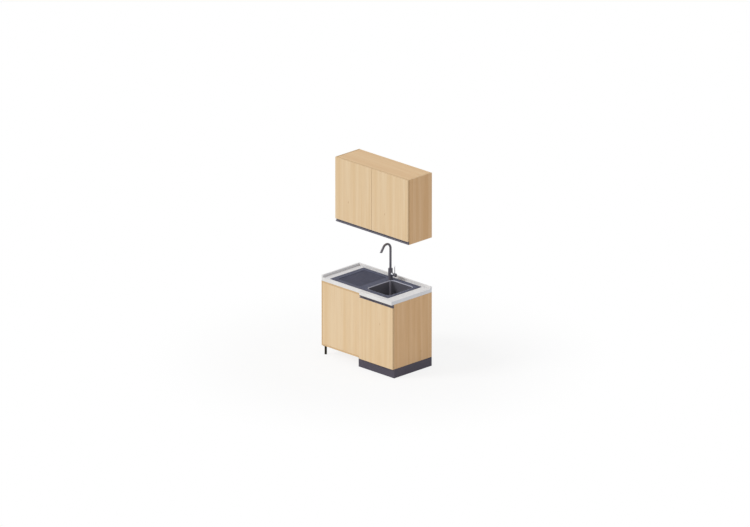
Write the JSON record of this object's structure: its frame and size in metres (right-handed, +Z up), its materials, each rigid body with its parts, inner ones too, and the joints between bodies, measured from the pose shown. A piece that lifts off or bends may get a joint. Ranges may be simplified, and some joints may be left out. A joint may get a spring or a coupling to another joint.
{
  "type": "kitchen block",
  "caption": "Kitchen block: oak-decor corner sink base unit with pale worktop, dark composite sink and mixer tap, and a wall unit above, doors on concealed hinges.",
  "frame": {"origin": "on the floor, under the middle of the run's width and depth", "axes": "+X to the right along the wall as seen from the room, +Y towards the wall, +Z up"},
  "size_m": [1.08, 0.6, 2.15],
  "materials": {
    "oak_board": "light oak decor on melamine board, vertical grain, satin",
    "white_hardboard": "white lacquered hardboard",
    "beech_dowel": "beech",
    "dark_anodised": "dark anodised aluminium, satin",
    "worktop_laminate": "pale grey laminate worktop, matt",
    "sink_composite": "dark speckled composite stone, satin",
    "tap_black": "dark grey painted brass, semi matt",
    "tap_chrome": "polished",
    "steel": "bright, brushed",
    "zinc": "zinc plated",
    "white_plastic": "white",
    "dark_plastic": "dark brown",
    "clear_buffer": "soft, translucent white"
  },
  "bodies": {
    "kitchen_block": {"base_side_left": "oak_board", "base_side_right": "oak_board", "base_bottom": "oak_board", "base_front_rail": "oak_board", "base_back_rail": "oak_board", "base_back_panel": "white_hardboard", "blind_panel": "oak_board", "corner_post": "oak_board", "carcass_dowels": "beech_dowel", "cam_fittings": "zinc", "legs": "dark_plastic", "leg_feet": "dark_plastic", "plinth_front": "dark_anodised", "plinth_side": "dark_anodised", "plinth_clips": "dark_plastic", "worktop": "worktop_laminate", "upstand_back": "worktop_laminate", "upstand_left": "worktop_laminate", "sink": "sink_composite", "sink_clips": "zinc", "waste_flange": "steel", "waste_body": "white_plastic", "overflow_pipe": "white_plastic", "trap_body": "white_plastic", "trap_cup": "white_plastic", "waste_nuts": "white_plastic", "outlet_pipe": "white_plastic", "tap_body": "tap_black", "tap_fixing_nut": "steel", "tap_cartridge": "white_plastic", "hinge_plates": "steel", "hinge_arms": "steel", "door_buffers": "clear_buffer", "wall_side_left": "oak_board", "wall_side_right": "oak_board", "wall_top": "oak_board", "wall_bottom": "oak_board", "wall_shelf": "oak_board", "shelf_pins": "steel", "wall_back_panel": "white_hardboard", "wall_hangers": "zinc", "wall_rail": "zinc"},
    "base_hinge_link": {"base_hinge_links": "steel"},
    "base_door": {"base_door": "oak_board", "base_door_handle": "dark_anodised", "base_hinge_cups": "steel"},
    "wall_hinge_link_left": {"wall_hinge_links_left": "steel"},
    "wall_door_left": {"wall_door_left": "oak_board", "wall_handle_left": "dark_anodised", "wall_hinge_cups_left": "steel"},
    "wall_hinge_link_right": {"wall_hinge_links_right": "steel"},
    "wall_door_right": {"wall_door_right": "oak_board", "wall_handle_right": "dark_anodised", "wall_hinge_cups_right": "steel"},
    "spout": {"tap_spout": "tap_black", "spout_aerator": "tap_chrome"},
    "lever_spindle": {"lever_spindle": "steel"},
    "lever": {"lever_ball": "tap_black", "lever_stick": "tap_chrome"},
    "strainer": {"strainer_basket": "steel"}
  },
  "joints": [
    {"name": "base_link_turn", "type": "hinge", "parent": "kitchen_block", "child": "base_hinge_link", "pos_m": [0.511, -0.267, 0.442], "axis": [0, 0, 1], "range_deg": [-40.5, 0.5]},
    {"name": "base_door_swing", "type": "hinge", "parent": "base_hinge_link", "child": "base_door", "pos_m": [0.5275, -0.266, 0.442], "axis": [0, 0, 1], "range_deg": [0, 145]},
    {"name": "wall_left_link_turn", "type": "hinge", "parent": "kitchen_block", "child": "wall_hinge_link_left", "pos_m": [-0.511, -0.042, 1.808], "axis": [0, 0, -1], "range_deg": [-40.5, 0.5]},
    {"name": "wall_left_door_swing", "type": "hinge", "parent": "wall_hinge_link_left", "child": "wall_door_left", "pos_m": [-0.5275, -0.041, 1.808], "axis": [0, 0, -1], "range_deg": [0, 145]},
    {"name": "wall_right_link_turn", "type": "hinge", "parent": "kitchen_block", "child": "wall_hinge_link_right", "pos_m": [0.511, -0.042, 1.808], "axis": [0, 0, 1], "range_deg": [-40.5, 0.5]},
    {"name": "wall_right_door_swing", "type": "hinge", "parent": "wall_hinge_link_right", "child": "wall_door_right", "pos_m": [0.5275, -0.041, 1.808], "axis": [0, 0, 1], "range_deg": [0, 145]},
    {"name": "spout_swivel", "type": "hinge", "parent": "kitchen_block", "child": "spout", "pos_m": [0.034, 0.192, 0.965], "axis": [0, 0, 1], "range_deg": [-110, 110]},
    {"name": "lever_turn", "type": "hinge", "parent": "kitchen_block", "child": "lever_spindle", "pos_m": [0.034, 0.192, 0.929], "axis": [1, 0, 0], "range_deg": [-50, 50]},
    {"name": "lever_lift", "type": "hinge", "parent": "lever_spindle", "child": "lever", "pos_m": [0.107, 0.192, 0.929], "axis": [0, 1, 0], "range_deg": [0, 25]},
    {"name": "strainer_lift", "type": "slide", "parent": "kitchen_block", "child": "strainer", "axis": [0, 0, 1], "range_m": [0, 0.3]}
  ],
  "couplings": [
    {"joint": "base_link_turn", "follows": "base_door_swing", "ratio": -0.27586},
    {"joint": "wall_left_link_turn", "follows": "wall_left_door_swing", "ratio": -0.27586},
    {"joint": "wall_right_link_turn", "follows": "wall_right_door_swing", "ratio": -0.27586}
  ]
}
